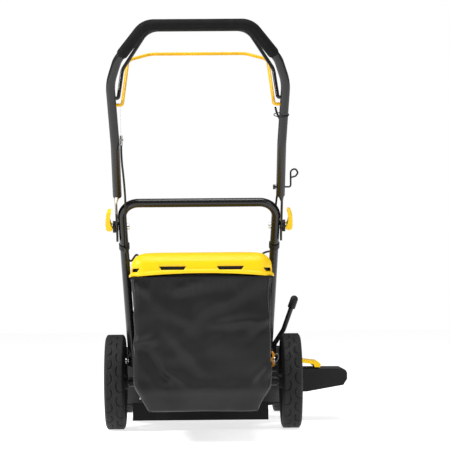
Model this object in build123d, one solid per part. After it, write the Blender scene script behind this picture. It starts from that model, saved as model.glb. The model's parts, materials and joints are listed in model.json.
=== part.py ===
"""Walk-behind rotary lawn mower with a rear grass bag, a side chute and a folding two-bail handle.

Millimetres. +Y is the way it mows, +X is its right side and +Z is up. The origin is on the
ground, on the centre plane, straight below the rear axle.
"""

import os
from math import cos, radians, sin, sqrt

from build123d import *

# ---- wheels and height adjustment
REAR_WHEEL_R = 127
REAR_WHEEL_W = 54
FRONT_WHEEL_R = 100
FRONT_WHEEL_W = 50
TRACK_HALF = 262  # from the middle of the track to the outer face of every tyre
TRACK_SHIFT = 8  # the track's middle is this far to the right of the handle's
WHEELBASE = 700
AXLE_R = 8
RUNNING = 0.06  # radial clearance of every turning pin
REAR_PIVOT = (75, 160)  # where the rear crank turns, as y and z
FRONT_PIVOT = (625, 130)
REAR_ARM_X = 180
FRONT_ARM_X = 203
ARM_T = 6

# ---- deck, tunnel and blade
BLADE_Y = 345
DECK_R = 251
SHEET = 3
DECK_RIM_Z = 50
DECK_TOP_Z = 168
BLADE_R = 240
BLADE_Z = 66
PLATE_X = 159  # inner face of the side plates
TUNNEL_X = 158
TUNNEL_FLOOR = [(-70, 180), (60, 165), (112, 118)]
TUNNEL_ROOF = [(165, 260), (30, 400), (-70, 400)]

# ---- handle
TUBE_R = 11
TUBE_WALL = 1.6
HANDLE_PIVOT = (-40, 185)
LEG_X = 194  # the lower handle's legs at the crossbar
FOOT_X = 180  # and at the pivot
LOWER_DIR = (-0.643, 0.766)  # the way the lower handle rises, as y and z
CROSSBAR = (-380, 590)
CAM_JOINT = (-332, 533)
BAIL_PIVOT = (-544, 819)
UPPER_DIR = (-0.469, 0.883)
UPPER_LEG_X = 203
TOP_LEG_X = 211
GRIP_R = 14

# ---- bails
STOP_BAIL_R = 4.5
DRIVE_BAIL_R = 4
STOP_REST = 45  # degrees forward of the handle's plane
DRIVE_REST = 71
STOP_PIVOT_UP = 18  # how far up the handle the stop bail's pivot is from the drive bail's

# ---- bag
BAG_Y = (-520, -83)
LID_HALF_W = 174
LID_TOP_Z = 462
BAG_HALF_W = 171
BAG_BOTTOM_Z = 80
BAG_SHIFT = 5  # the bag hangs this far to the right of the handle's middle

nodes = {}


def block(x0, x1, y0, y1, z0, z1):
    """A box from its limits."""
    return Pos((x0 + x1) / 2, (y0 + y1) / 2, (z0 + z1) / 2) * Box(x1 - x0, y1 - y0, z1 - z0)


def bar(start, end, radius):
    """A round bar between two points."""
    run = Vector(*end) - Vector(*start)
    place = Plane(origin=start, z_dir=run)
    return place * Cylinder(radius, run.length, align=(Align.CENTER, Align.CENTER, Align.MIN))


def x_pin(x0, x1, yz, radius):
    """A round bar along X, through one y and z."""
    return bar((x0, yz[0], yz[1]), (x1, yz[0], yz[1]), radius)


def disc(x, y, z0, z1, radius):
    """An upright round bar."""
    return bar((x, y, z0), (x, y, z1), radius)


def tube(points, bends, radius, wall=0):
    """A bent bar, or a hollow one if it has a wall."""
    path = FilletPolyline(*points, radius=bends) if len(points) > 2 else Line(*points)
    section = Circle(radius) - Circle(radius - wall) if wall else Circle(radius)
    return sweep(Plane(origin=path @ 0, z_dir=path % 0) * section, path)


def side_prism(points, x0, x1):
    """A solid with a y, z outline between two values of x."""
    face = make_face(Polyline(*[(x0, y, z) for y, z in points], close=True))
    return extrude(face, amount=x1 - x0, dir=(1, 0, 0))


def end_prism(points, y0, y1):
    """A solid with an x, z outline between two values of y."""
    face = make_face(Polyline(*[(x, y0, z) for x, z in points], close=True))
    return extrude(face, amount=y1 - y0, dir=(0, 1, 0))


def both(solid):
    """A solid and its mirror image across the centre plane."""
    return solid + mirror(solid, about=Plane.YZ)


def along(start, direction, distance, normal=0):
    """A point along a y, z direction and off it, towards the front."""
    return (
        start[0] + direction[0] * distance + direction[1] * normal,
        start[1] + direction[1] * distance - direction[0] * normal,
    )


def symmetric_path(half):
    """A path over the handle from the points of its left half."""
    return half + [(-x, y, z) for x, y, z in reversed(half)]


def symmetric_bends(half):
    """The bend radii of a path from those of its left half."""
    return half + half[::-1]


def make_wheel(name, side, y, radius, width):
    """A tyre and its spoked wheel, on the axle at height radius."""
    inner = TRACK_HALF - width
    rim = radius - 28
    crown = 7
    tyre = revolve(
        Plane.XY
        * make_face(
            Polyline(
                (inner + crown, rim - 6),
                (inner + crown - 3, rim + 2),
                (inner, radius - 14),
                (inner + 3, radius - 5),
                (inner + crown + 4, radius),
                (TRACK_HALF - crown - 4, radius),
                (TRACK_HALF - 3, radius - 5),
                (TRACK_HALF, radius - 14),
                (TRACK_HALF - crown + 3, rim + 2),
                (TRACK_HALF - crown, rim - 6),
                close=True,
            )
        ),
        axis=Axis.X,
    )
    middle = inner + width / 2
    web = bar((middle - 4, 0, 0), (middle + 4, 0, 0), rim - 8)
    for n in range(6):
        hole = Rot(60 * n, 0, 0) * Pos(0, 0, (rim + 16) / 2)
        web -= hole * bar((middle - 9, 0, 0), (middle + 9, 0, 0), 15)
    ring = bar((inner + crown + 1, 0, 0), (TRACK_HALF - crown - 1, 0, 0), rim - 6)
    ring -= bar((inner, 0, 0), (TRACK_HALF, 0, 0), rim - 11)
    hub = bar((inner - 5, 0, 0), (TRACK_HALF - 6, 0, 0), 20)
    wheel = ring + web + hub
    wheel -= bar((inner - 20, 0, 0), (TRACK_HALF + 20, 0, 0), AXLE_R + RUNNING)
    for label, solid in ((f"{name}_tyre", tyre), (f"{name}_wheel", wheel)):
        placed = solid if side > 0 else mirror(solid, about=Plane.YZ)
        nodes[label] = Pos(TRACK_SHIFT, y, radius) * placed


# ---- deck: a round drawn shell with side plates that carry the rear axle and the handle
shell = disc(0, BLADE_Y, DECK_RIM_Z, DECK_TOP_Z, DECK_R)
shell -= disc(0, BLADE_Y, DECK_RIM_Z - 1, DECK_TOP_Z - SHEET, DECK_R - SHEET)
lip = disc(0, BLADE_Y, DECK_RIM_Z, DECK_RIM_Z + 4, DECK_R + 7)
lip -= disc(0, BLADE_Y, DECK_RIM_Z - 1, DECK_RIM_Z + 5, DECK_R)
plate_outline = [(190, 95), (50, 95), (50, 158), (-68, 172), (-68, 215), (120, 215), (190, 168)]
plates = both(side_prism(plate_outline, PLATE_X, PLATE_X + 4))
front_ears = both(block(140, 152, 535, 643, 108, 152))
door_ears = block(212, 264, 231, 241, 152, 178) + block(212, 264, 429, 439, 152, 178)
deck = shell + lip + plates + front_ears + door_ears
deck -= disc(0, BLADE_Y, DECK_RIM_Z - 1, DECK_TOP_Z - SHEET, DECK_R - SHEET)
tunnel_inside = side_prism(
    [
        (-80, 184),
        (61, 168.2),
        (113, 121.2),
        (172, 121.2),
        (162, 168),
        (162, 259),
        (29, 397),
        (-80, 397),
    ],
    -TUNNEL_X + SHEET,
    TUNNEL_X - SHEET,
)
deck -= tunnel_inside
deck -= block(200, 300, 242, 428, 84, 150)
deck -= disc(0, BLADE_Y, 150, 180, 40)
deck -= x_pin(-200, 200, REAR_PIVOT, AXLE_R + RUNNING)
deck -= x_pin(-200, 200, FRONT_PIVOT, AXLE_R + RUNNING)
deck -= x_pin(-200, 200, HANDLE_PIVOT, 4)
nodes["deck_shell"] = deck

# ---- tunnel: the duct over the rear axle, from the deck to the bag
tunnel = side_prism(TUNNEL_FLOOR + [(165, 118)] + TUNNEL_ROOF, -TUNNEL_X, TUNNEL_X)
tunnel -= tunnel_inside
tunnel -= disc(0, BLADE_Y, 40, DECK_TOP_Z, DECK_R)
DOOR_HINGE = (-58, 413)
tunnel += both(side_prism([(-70, 396), (-70, 420), (-46, 420), (-40, 399)], 146, 156))
tunnel -= x_pin(-170, 170, DOOR_HINGE, 3)
nodes["discharge_tunnel"] = tunnel

# ---- rear skirt under the tunnel, which carries the trailing flap
FLAP_HINGE = (-66, 86)
skirt = block(-PLATE_X, PLATE_X, -56, -52, 92, 177)
skirt += both(block(151, PLATE_X, -71, -52, 80, 160))
skirt -= x_pin(-180, 180, FLAP_HINGE, 3)
nodes["rear_skirt"] = skirt

# ---- handle brackets outside the lower handle's feet
BRACKET_X = 192.6  # clear of the widening leg when it folds forward
bracket_outline = [(-60, 170), (-60, 205), (-22, 205), (38, 185), (38, 170)]
bracket = side_prism(bracket_outline, BRACKET_X, BRACKET_X + 3)
bracket += block(PLATE_X + 4, BRACKET_X + 3, -14, 24, 170, 173)
bracket -= x_pin(180, 210, HANDLE_PIVOT, 4)
nodes["handle_brackets"] = both(bracket)

# ---- hinge rods and bolts
rods = x_pin(-158, 158, DOOR_HINGE, 3)
rods += x_pin(-162, 162, FLAP_HINGE, 3)
DOOR_ROD = (258, 172)
rods += bar((DOOR_ROD[0], 229, DOOR_ROD[1]), (DOOR_ROD[0], 441, DOOR_ROD[1]), 3)
nodes["discharge_tunnel"] -= rods
nodes["rear_skirt"] -= rods
nodes["deck_shell"] -= rods
nodes["hinge_rods"] = rods
bolt = x_pin(154, 199, HANDLE_PIVOT, 4)
bolt += x_pin(BRACKET_X + 3, 199.5, HANDLE_PIVOT, 8)
bolt += x_pin(153.5, PLATE_X, HANDLE_PIVOT, 6.5)
nodes["handle_bolts"] = both(bolt)
nodes["discharge_tunnel"] -= x_pin(-180, 180, HANDLE_PIVOT, 7)

# ---- engine
block_body = fillet(block(-80, 80, 262, 425, DECK_TOP_Z, 292).edges().filter_by(Axis.Z), 22)
block_body += bar((0, 420, 232), (0, 520, 232), 42)
for n in range(7):
    fin_y = 432 + 13 * n
    block_body += block(-62, 62, fin_y, fin_y + 4, 178, 286)
block_body += block(-58, 58, 520, 540, 184, 280)
block_body += bar((60, 275, 210), (98, 214, 300), 12)
block_body -= disc(0, BLADE_Y, 150, 300, 11 + RUNNING)
nodes["engine_block"] = block_body
nodes["engine_block"] -= bar((98.7, 212.9, 301.6), (83, 238, 264.6), 8)

shroud = disc(0, BLADE_Y, 292, 380, 124) + block(-70, 70, 400, 552, 292, 340)
shroud = fillet(shroud.faces().sort_by(Axis.Z)[-1].edges(), 10)
shroud -= disc(0, BLADE_Y, 291, 374, 118) + block(-66, 66, 390, 547, 280, 336)
shroud -= disc(0, BLADE_Y, 370, 390, 60)
nodes["blower_shroud"] = shroud

recoil = disc(0, BLADE_Y, 380, 426, 92)
recoil = fillet(recoil.faces().sort_by(Axis.Z)[-1].edges(), 16)
recoil -= disc(0, BLADE_Y, 379, 420, 84)
for n in range(16):
    vent = Pos(0, BLADE_Y, 0) * Rot(0, 0, 22.5 * n) * block(45, 70, -4, 4, 415, 430)
    recoil -= vent
rope_mouth = fillet(block(44, 76, 240, 290, 384, 412).edges().filter_by(Axis.Y), 7)
recoil = recoil + rope_mouth - disc(0, BLADE_Y, 379, 420, 84)
recoil -= bar((60, 230, 398), (60, 300, 398), 4)
nodes["recoil_housing"] = recoil

tank = fillet(block(-168, -126, 235, 450, 225, 335).edges(), 14)
tank += disc(-147, 290, 330, 341, 14)
tank -= disc(-147, 290, 320, 345, 10)
tank += block(-130, -80, 300, 316, 238, 262) + block(-130, -80, 380, 396, 238, 262)
nodes["fuel_tank"] = tank

nodes["carburettor"] = block(80, 118, 285, 325, 215, 255) + bar((99, 305, 255), (99, 305, 268), 9)
air_box = fillet(block(118, 166, 250, 350, 195, 286).edges(), 12)
air_box -= bar((115, 305, 235), (140, 305, 235), 11)
nodes["air_filter_cover"] = air_box
can = fillet(block(78, 148, 445, 545, 200, 278).edges(), 12)
can += bar((62, 500, 232), (80, 500, 232), 12)
can -= bar((130, 530, 205), (130, 580, 205), 6)
nodes["muffler"] = can - block(-62, 62, 430, 560, 170, 290)
plug = bar((0, 540, 240), (0, 556, 240), 10) + bar((0, 556, 240), (0, 588, 240), 7)
nodes["spark_plug"] = plug

# ---- rotor: shaft, flywheel, blade
shaft = disc(0, BLADE_Y, 74, 345, 11)
nodes["crankshaft"] = shaft
flywheel = disc(0, BLADE_Y, 300, 322, 104)
for n in range(12):
    vane = Pos(0, BLADE_Y, 0) * Rot(0, 0, 30 * n + 8) * block(62, 100, -2, 2, 322, 344)
    flywheel += vane
nodes["flywheel"] = flywheel - shaft
blade_hub = disc(0, BLADE_Y, BLADE_Z + 4, 104, 24) - disc(0, BLADE_Y, 74, 110, 11)
blade_hub -= disc(0, BLADE_Y, 50, 80, 6)
nodes["blade_hub"] = blade_hub
blade = block(-238, 238, -27, 27, BLADE_Z, BLADE_Z + 4)
for turn in (0, 180):
    corner = block(150, 240, -30, -14, BLADE_Z - 1, BLADE_Z + 5)
    wing = Pos(195, -14, BLADE_Z + 2) * Rot(-32, 0, 0) * Pos(0, -9, 0) * Box(85, 22, 4)
    blade = blade - Rot(0, 0, turn) * corner + Rot(0, 0, turn) * wing
blade = blade & Cylinder(BLADE_R, 400)
nodes["blade"] = Pos(0, BLADE_Y, 0) * blade - disc(0, BLADE_Y, 50, 74, 6)
nodes["blade_bolt"] = disc(0, BLADE_Y, 60, 74, 6) + disc(0, BLADE_Y, 56, BLADE_Z, 13)

# ---- wheels
for side, word in ((-1, "left"), (1, "right")):
    make_wheel(f"rear_{word}", side, 0, REAR_WHEEL_R, REAR_WHEEL_W)
    make_wheel(f"front_{word}", side, WHEELBASE, FRONT_WHEEL_R, FRONT_WHEEL_W)

# ---- rear axle on its two cranks, with the height lever
rear_axle_yz = (0, REAR_WHEEL_R)
axle_end = TRACK_HALF - 1
rear_axle = x_pin(TRACK_SHIFT - axle_end, TRACK_SHIFT + axle_end, rear_axle_yz, AXLE_R)
for side in (-1, 1):
    near = TRACK_SHIFT + side * REAR_ARM_X
    far = near + side * ARM_T
    left, right = min(near, far), max(near, far)
    rear_axle += x_pin(left, right, REAR_PIVOT, 16) + x_pin(left, right, rear_axle_yz, 14)
    rear_axle += side_prism([(75, 176), (0, 141), (0, 113), (75, 144)], left, right)
    rear_axle += x_pin(side * (PLATE_X - 0.5), near + side, REAR_PIVOT, AXLE_R)
    rear_axle += x_pin(far, far + side * 13, rear_axle_yz, 13)
    nut = TRACK_SHIFT + side * (TRACK_HALF - 5.5)
    rear_axle += x_pin(nut, nut + side * 4.5, rear_axle_yz, 12)
nodes["rear_axle"] = rear_axle
gearbox = fillet(block(-52, 52, -24, 24, 104, 139).edges(), 8)
gearbox += both(x_pin(40, 70, rear_axle_yz, 16))
nodes["gearbox"] = gearbox - x_pin(-100, 100, rear_axle_yz, AXLE_R)
LEVER_X = 202
lever_route = [(LEVER_X, 75, 160), (LEVER_X, 73, 222), (228, 67, 262), (256, 60, 340)]
lever = tube(lever_route, [26, 40], 6.5)
lever += x_pin(TRACK_SHIFT + REAR_ARM_X + ARM_T, 208, REAR_PIVOT, 13)
nodes["height_lever"] = lever
knob_ends = ((249, 61.75, 320.5), (257.7, 59.6, 344.8))
knob = bar(*knob_ends, 10.5) + Pos(*knob_ends[1]) * Sphere(10.5)
nodes["lever_knob"] = fillet(knob.edges().sort_by(Axis.Z)[0], 3) - lever

# ---- front axle on its crank
front_axle_yz = (WHEELBASE, FRONT_WHEEL_R)
front_axle = x_pin(TRACK_SHIFT - FRONT_ARM_X, TRACK_SHIFT + FRONT_ARM_X, FRONT_PIVOT, AXLE_R)
front_axle += both(x_pin(153, 160, FRONT_PIVOT, 12))
for side in (-1, 1):
    near = TRACK_SHIFT + side * FRONT_ARM_X
    far = near - side * ARM_T
    left, right = min(near, far), max(near, far)
    front_axle += x_pin(left, right, FRONT_PIVOT, 14) + x_pin(left, right, front_axle_yz, 14)
    front_axle += side_prism([(625, 144), (700, 114), (700, 86), (625, 116)], left, right)
    front_axle += x_pin(far, TRACK_SHIFT + side * axle_end, front_axle_yz, AXLE_R)
    nut = TRACK_SHIFT + side * (TRACK_HALF - 5.5)
    front_axle += x_pin(nut, nut + side * 4.5, front_axle_yz, 12)
nodes["front_axle"] = front_axle

# ---- lower handle
foot = along(HANDLE_PIVOT, LOWER_DIR, -13)
lower_points = symmetric_path([(-FOOT_X, *foot), (-LEG_X, *CROSSBAR)])
lower_handle = tube(lower_points, [42, 42], TUBE_R, TUBE_WALL)
lower_handle -= x_pin(-220, 220, HANDLE_PIVOT, 4 + RUNNING)
lower_handle -= x_pin(-220, 220, CAM_JOINT, 4 + RUNNING)
nodes["lower_handle"] = lower_handle

# ---- upper handle: flattened feet outside the lower legs, then the tube over the top
foot_axis = [along(CAM_JOINT, LOWER_DIR, d) for d in (-32, 78, 104)]
tube_start = along(CAM_JOINT, LOWER_DIR, 97)
foot_plane = Plane(origin=(-207, *foot_axis[0]), z_dir=(0, *LOWER_DIR), x_dir=(1, 0, 0))
paddle = foot_plane * extrude(RectangleRounded(5, 26, 2.4), 116)
paddle += x_pin(-209.5, -204.5, foot_axis[0], 13)
joint_face = Plane(origin=(-207, *foot_axis[1]), z_dir=(0, *LOWER_DIR), x_dir=(1, 0, 0))
tube_face = Plane(
    origin=(-UPPER_LEG_X, *foot_axis[2]), z_dir=(0, *LOWER_DIR), x_dir=(1, 0, 0)
)
shoulder = loft([joint_face * RectangleRounded(5, 26, 2.4), tube_face * Circle(TUBE_R - 0.8)])
kink = (-UPPER_LEG_X, -496, 728)
upper_points = symmetric_path(
    [
        (-UPPER_LEG_X, *tube_start),
        kink,
        (-TOP_LEG_X, *along(BAIL_PIVOT, UPPER_DIR, 56)),
        (-192, *along(BAIL_PIVOT, UPPER_DIR, 115.6)),
        (-125, *along(BAIL_PIVOT, UPPER_DIR, 203.4)),
    ]
)
upper_bends = symmetric_bends([60, 120, 60, 42])
upper_handle = tube(upper_points, upper_bends, TUBE_R) + both(paddle + shoulder)
upper_points[0] = (-UPPER_LEG_X, *along(CAM_JOINT, LOWER_DIR, 108))
upper_points[-1] = (UPPER_LEG_X, *along(CAM_JOINT, LOWER_DIR, 108))
upper_handle -= tube(upper_points, upper_bends, TUBE_R - TUBE_WALL)
upper_handle -= x_pin(-240, 240, CAM_JOINT, 4 + RUNNING)
upper_handle -= x_pin(-208, 208, BAIL_PIVOT, DRIVE_BAIL_R + RUNNING)
stop_pivot = along(BAIL_PIVOT, UPPER_DIR, STOP_PIVOT_UP)
upper_handle -= x_pin(-208, 208, stop_pivot, STOP_BAIL_R + RUNNING)
nodes["upper_handle"] = upper_handle

grip_points = symmetric_path(
    [
        (-183.5, *along(BAIL_PIVOT, UPPER_DIR, 126.74)),
        (-125, *along(BAIL_PIVOT, UPPER_DIR, 203.4)),
    ]
)
nodes["grip_foam"] = tube(grip_points, [42, 42], GRIP_R, GRIP_R - TUBE_R - 0.15)


# ---- bails
def bail(points, bends, radius, pivot, rest, leg_x):
    """A bail from its flat outline, turned forward to its rest angle about its pivot."""
    tilt = radians(rest)
    direction = (
        UPPER_DIR[0] * cos(tilt) + UPPER_DIR[1] * sin(tilt),
        UPPER_DIR[1] * cos(tilt) - UPPER_DIR[0] * sin(tilt),
    )
    half = [(-207, *pivot), (-leg_x, *pivot)]
    half += [(-x, *along(pivot, direction, out)) for x, out in points]
    return tube(symmetric_path(half), symmetric_bends(bends), radius)


stop_outline = [(183, 74), (121, 180)]
stop_bail = bail(stop_outline, [4.9, 45, 45], STOP_BAIL_R, stop_pivot, STOP_REST, 192)
nodes["stop_bail"] = stop_bail
drive_outline = [(173, 168), (118, 191)]
drive_bail = bail(drive_outline, [7, 22, 60], DRIVE_BAIL_R, BAIL_PIVOT, DRIVE_REST, 183)
nodes["drive_bail"] = drive_bail

# ---- cam levers and their bolts
NORMAL = (0, LOWER_DIR[1], -LOWER_DIR[0])
CAM_X = 226
stud = x_pin(176, 217.4, CAM_JOINT, 4)
stud += x_pin(175.3, 180.7, CAM_JOINT, 7)
eye_plane = Plane(origin=(CAM_X, *CAM_JOINT), z_dir=NORMAL, x_dir=(1, 0, 0))
eye = eye_plane * (Cylinder(6, 6) + Pos(-5, 0, 0) * Box(7.8, 8, 6))
stud = stud + eye - eye_plane * Cylinder(2.5 + RUNNING, 20)
washer = x_pin(203.5, 204.2, CAM_JOINT, 12) - x_pin(190, 230, CAM_JOINT, 4 + RUNNING)
nodes["clamp_bolts"] = both(stud)
boss = x_pin(210, 217, CAM_JOINT, 15)
for n in range(12):
    groove = along(CAM_JOINT, (cos(radians(30 * n)), sin(radians(30 * n))), 16.5)
    boss -= x_pin(209, 221, groove, 2.6)
boss -= x_pin(200, 230, CAM_JOINT, 4 + RUNNING)
nodes["clamp_bosses"] = both(boss + washer)
cam_plane = Plane(origin=(CAM_X, *CAM_JOINT), z_dir=NORMAL, x_dir=(1, 0, 0))
cam = Cylinder(8.4, 18)
reach = Spline((8.3, 0), (9, -20), (2, -50), tangents=[(0.15, -1), (-0.4, -1)])
back = Spline((-6, -51), (-2, -26), (-6, -4), tangents=[(0.2, 1), (-0.4, 1)])
outline = make_face([reach, Line((2, -50), (-6, -51)), back, Line((-6, -4), (8.3, 0))])
cam += extrude(outline, amount=9, both=True)
cam -= Pos(0, 12, 0) * Box(30, 40, 6.8)
cam -= Cylinder(6.6, 6.8)
cam += Cylinder(2.5, 18)
lever_right = cam_plane * cam
nodes["cam_lever_right"] = lever_right
nodes["cam_lever_left"] = mirror(lever_right, about=Plane.YZ)

# ---- rope guide: a pigtail on the right leg
GUIDE = along(kink[1:], LOWER_DIR, -133)
GUIDE_R = 2.2
guide_route = [
    (188, *GUIDE),
    (228, *GUIDE),
    (228, GUIDE[0] - 2, GUIDE[1] + 40),
    (240, GUIDE[0] - 5, GUIDE[1] + 46),
    (246, GUIDE[0] - 7, GUIDE[1] + 34),
    (240, GUIDE[0] - 8, GUIDE[1] + 26),
    (229, GUIDE[0] - 9, GUIDE[1] + 23),
]
guide = tube(guide_route, [5, 8, 7, 5, 4], GUIDE_R)
guide += x_pin(184, 190.6, GUIDE, 6)
nodes["upper_handle"] -= x_pin(180, 230, GUIDE, GUIDE_R)
nodes["rope_guide"] = guide

# ---- cable bracket, clips and cables
BRACKET = along(kink[1:], UPPER_DIR, 14)
bracket = block(-193.5, -183, BRACKET[0] - 6, BRACKET[0] + 6, BRACKET[1] - 5, BRACKET[1])
bracket += bar((-188, BRACKET[0], BRACKET[1] - 16), (-188, BRACKET[0], BRACKET[1] + 8), 3.4)
bracket -= bar((-UPPER_LEG_X, *kink[1:]), (-TOP_LEG_X, *along(BAIL_PIVOT, UPPER_DIR, 56)), TUBE_R)
nodes["cable_bracket"] = bracket


def leg_side(x, distance, off):
    """A point beside the lower handle's leg, off it towards the rear."""
    return (x, *along(HANDLE_PIVOT, LOWER_DIR, distance, -off))


def leg_x(distance):
    """How far out the lower handle's leg is, this far up from its pivot."""
    rise = (CROSSBAR[1] - HANDLE_PIVOT[1]) / LOWER_DIR[1]
    return FOOT_X + (LEG_X - FOOT_X) * (distance + 13) / (rise + 13)


CABLE_R = 2.6
CLIP_AT = 392
CLIP_X = leg_x(CLIP_AT)
wire_top = (-188, BAIL_PIVOT[0] + 11, BAIL_PIVOT[1] - 3)
wire_end = (-188, BRACKET[0], BRACKET[1] + 8.5)
nodes["drive_wire"] = bar(wire_end, wire_top, 0.9)
drive_upper = [
    (-188, BRACKET[0], BRACKET[1] - 16),
    (-188, BRACKET[0], BRACKET[1] - 46),
    (-184, BRACKET[0] + 38, BRACKET[1] - 92),
    leg_side(-182, 552, 20),
    leg_side(-185, 500, 15.2),
    leg_side(-185, 452, 15.2),
]
nodes["drive_cable_upper"] = tube(drive_upper, [40, 45, 60, 120], CABLE_R)
drive_lower = [
    leg_side(-185, 452, 15.2),
    leg_side(-185, 374, 15.2),
    leg_side(-175, 346, 12),
    (-163, -238, 466),
    (-158, -180, 462),
    (-156, -115, 450),
    (-150, -50, 446),
    (-138, 20, 448),
    (-120, 90, 440),
    (-112, 150, 415),
    (-108, 205, 380),
]
nodes["drive_cable_lower"] = tube(drive_lower, [30, 24, 30, 60, 60, 60, 60, 60, 50], CABLE_R)
stop_upper = [
    (187, *along(BAIL_PIVOT, UPPER_DIR, -14, 14)),
    (186, *along(BAIL_PIVOT, UPPER_DIR, -50, 15)),
    (190, *along(BAIL_PIVOT, UPPER_DIR, -96, 16)),
    leg_side(190, 575, -16),
    leg_side(191, 520, -15.2),
    leg_side(191, 470, -15.2),
]
nodes["stop_cable_upper"] = tube(stop_upper, [60, 60, 60, 80], CABLE_R)
stop_lower = [
    leg_side(191, 470, -15.2),
    leg_side(191, 360, -15.2),
    (172, -190, 470),
    (160, -120, 462),
    (150, -50, 452),
    (140, 20, 450),
    (130, 90, 436),
    (122, 145, 405),
    (118, 190, 365),
]
nodes["stop_cable_lower"] = tube(stop_lower, [50, 50, 60, 60, 60, 60, 50], CABLE_R)


def clip(x, distance, off, cable_x):
    """A band round the lower leg and the cable that lies on it."""
    leg_at = along(HANDLE_PIVOT, LOWER_DIR, distance)
    ring_plane = Plane(origin=(x, *leg_at), z_dir=(0, *LOWER_DIR), x_dir=(1, 0, 0))
    outer = Cylinder(13.5, 14) + Pos(cable_x - x, -off, 0) * Cylinder(5.5, 14)
    inner = Cylinder(TUBE_R + 0.35, 20) + Pos(cable_x - x, -off, 0) * Cylinder(CABLE_R + 0.1, 20)
    return ring_plane * (outer - inner)


nodes["cable_clips"] = clip(-CLIP_X, CLIP_AT, 15.2, -185)
nodes["cable_clips"] += clip(CLIP_X, CLIP_AT, -15.2, 191)

# ---- grass bag: rigid lid, fabric body and mouth frame
lid_y = [(-520, 404), (-520, 442), (-505, 456), (-480, LID_TOP_Z), (-300, LID_TOP_Z)]
lid_y += [(-83, 412), (-83, 404)]
lid = side_prism(lid_y, -LID_HALF_W, LID_HALF_W)
crown = [(-LID_HALF_W, 404), (-LID_HALF_W, 428), (-167, 443), (-152, 455), (-120, 460), (0, 463)]
crown += [(-x, z) for x, z in reversed(crown[:-1])]
lid &= end_prism(crown, -530, -70)
hollow = side_prism([(y, z - 3) for y, z in lid_y], -LID_HALF_W + 3, LID_HALF_W - 3)
hollow &= end_prism([(x * 0.983, z - 3) for x, z in crown], -517, -86)
lid -= hollow
plan = make_face(Polyline((-175, -530), (-166, -70), (166, -70), (175, -530), close=True))
lid &= Pos(0, 0, 300) * extrude(plan, 200)
for x in (-70, 70):
    lid -= end_prism([(x - 33, 431), (x + 33, 431), (x + 28, 423), (x - 28, 423)], -530, -510)
for x in (-161, 161):
    lid -= end_prism([(x - 8, 427), (x + 8, 427), (x + 6, 419), (x - 6, 419)], -530, -510)
nodes["bag_lid"] = Pos(BAG_SHIFT, 0, 0) * lid


def bag_outline(inset):
    """The bag's cross-section, rounded at the bottom."""
    half, low, high = BAG_HALF_W - inset, BAG_BOTTOM_Z + inset, 400.5
    right = [(half, high), (half, low + 70), (half - 7, low + 32), (half - 22, low + 8)]
    right += [(half - 40, low)]
    return right + [(-x, z) for x, z in reversed(right)]


bag = end_prism(bag_outline(0), BAG_Y[0] + 4, BAG_Y[1])
bag -= end_prism(bag_outline(3), BAG_Y[0] + 7, BAG_Y[1] + 10)
bag += end_prism(bag_outline(0), BAG_Y[1] - 3, BAG_Y[1])
bag -= block(-150, 150, -95, -70, 182, 392)
bag_plan = make_face(Polyline((-172, -530), (-162, -70), (162, -70), (172, -530), close=True))
bag &= extrude(bag_plan, 500)
nodes["bag_fabric"] = Pos(BAG_SHIFT, 0, 0) * bag
rim = block(-LID_HALF_W, LID_HALF_W, *BAG_Y, 400.5, 404)
rim -= block(-LID_HALF_W + 8, LID_HALF_W - 8, BAG_Y[0] + 8, BAG_Y[1] - 8, 390, 410)
frame = block(-160, 160, -83, -76, 172, 404) - block(-150, 150, -90, -70, 182, 392)
nodes["bag_frame"] = Pos(BAG_SHIFT, 0, 0) * ((rim & extrude(plan, 500)) + frame)

# ---- rear door, resting on the front slope of the bag's lid
slope = sqrt(217**2 + 50**2)
door_dir = (-217 / slope, 50 / slope)
door = side_prism(
    [
        along(DOOR_HINGE, door_dir, 10, -2.4),
        along(DOOR_HINGE, door_dir, 208, -2.4),
        along(DOOR_HINGE, door_dir, 208, 1.1),
        along(DOOR_HINGE, door_dir, 10, 1.1),
    ],
    -143,
    143,
)
door += x_pin(-143, 143, DOOR_HINGE, 7)
door += side_prism(
    [
        along(DOOR_HINGE, door_dir, 0, -2.4),
        along(DOOR_HINGE, door_dir, 12, -2.4),
        along(DOOR_HINGE, door_dir, 12, 1.1),
        along(DOOR_HINGE, door_dir, 0, 1.1),
    ],
    -143,
    143,
)
nodes["rear_door"] = door - x_pin(-170, 170, DOOR_HINGE, 3 + RUNNING)

# ---- trailing flap
flap = block(-149, 149, -68.5, -63.5, 60, 86) + x_pin(-149, 149, FLAP_HINGE, 6)
flap += block(-180, 180, -68.5, -63.5, 27, 74)
nodes["trailing_flap"] = flap - x_pin(-190, 190, FLAP_HINGE, 3 + RUNNING)

# ---- side door and side chute
side_door = end_prism(
    [(258, 169), (258, 177), (320, 168), (334, 167), (341, 160), (339, 151.5), (324, 151.5)]
    + [(320, 160)],
    244,
    426,
)
side_door += bar((DOOR_ROD[0], 244, DOOR_ROD[1]), (DOOR_ROD[0], 426, DOOR_ROD[1]), 6)
side_door -= bar((DOOR_ROD[0], 200, DOOR_ROD[1]), (DOOR_ROD[0], 460, DOOR_ROD[1]), 3 + RUNNING)
nodes["side_door"] = side_door
chute_top = [(253, 83), (253, 148), (403, 147), (411, 143), (415, 135), (415, 118), (404, 101)]
chute_top += [(300, 83)]
chute = end_prism(chute_top, 244, 426)
chute_in = [(240, 70), (240, 145), (402, 144), (409, 141), (412, 134), (412, 119), (366, 70)]
chute -= end_prism(chute_in, 247, 423)
nodes["side_chute"] = chute

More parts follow.
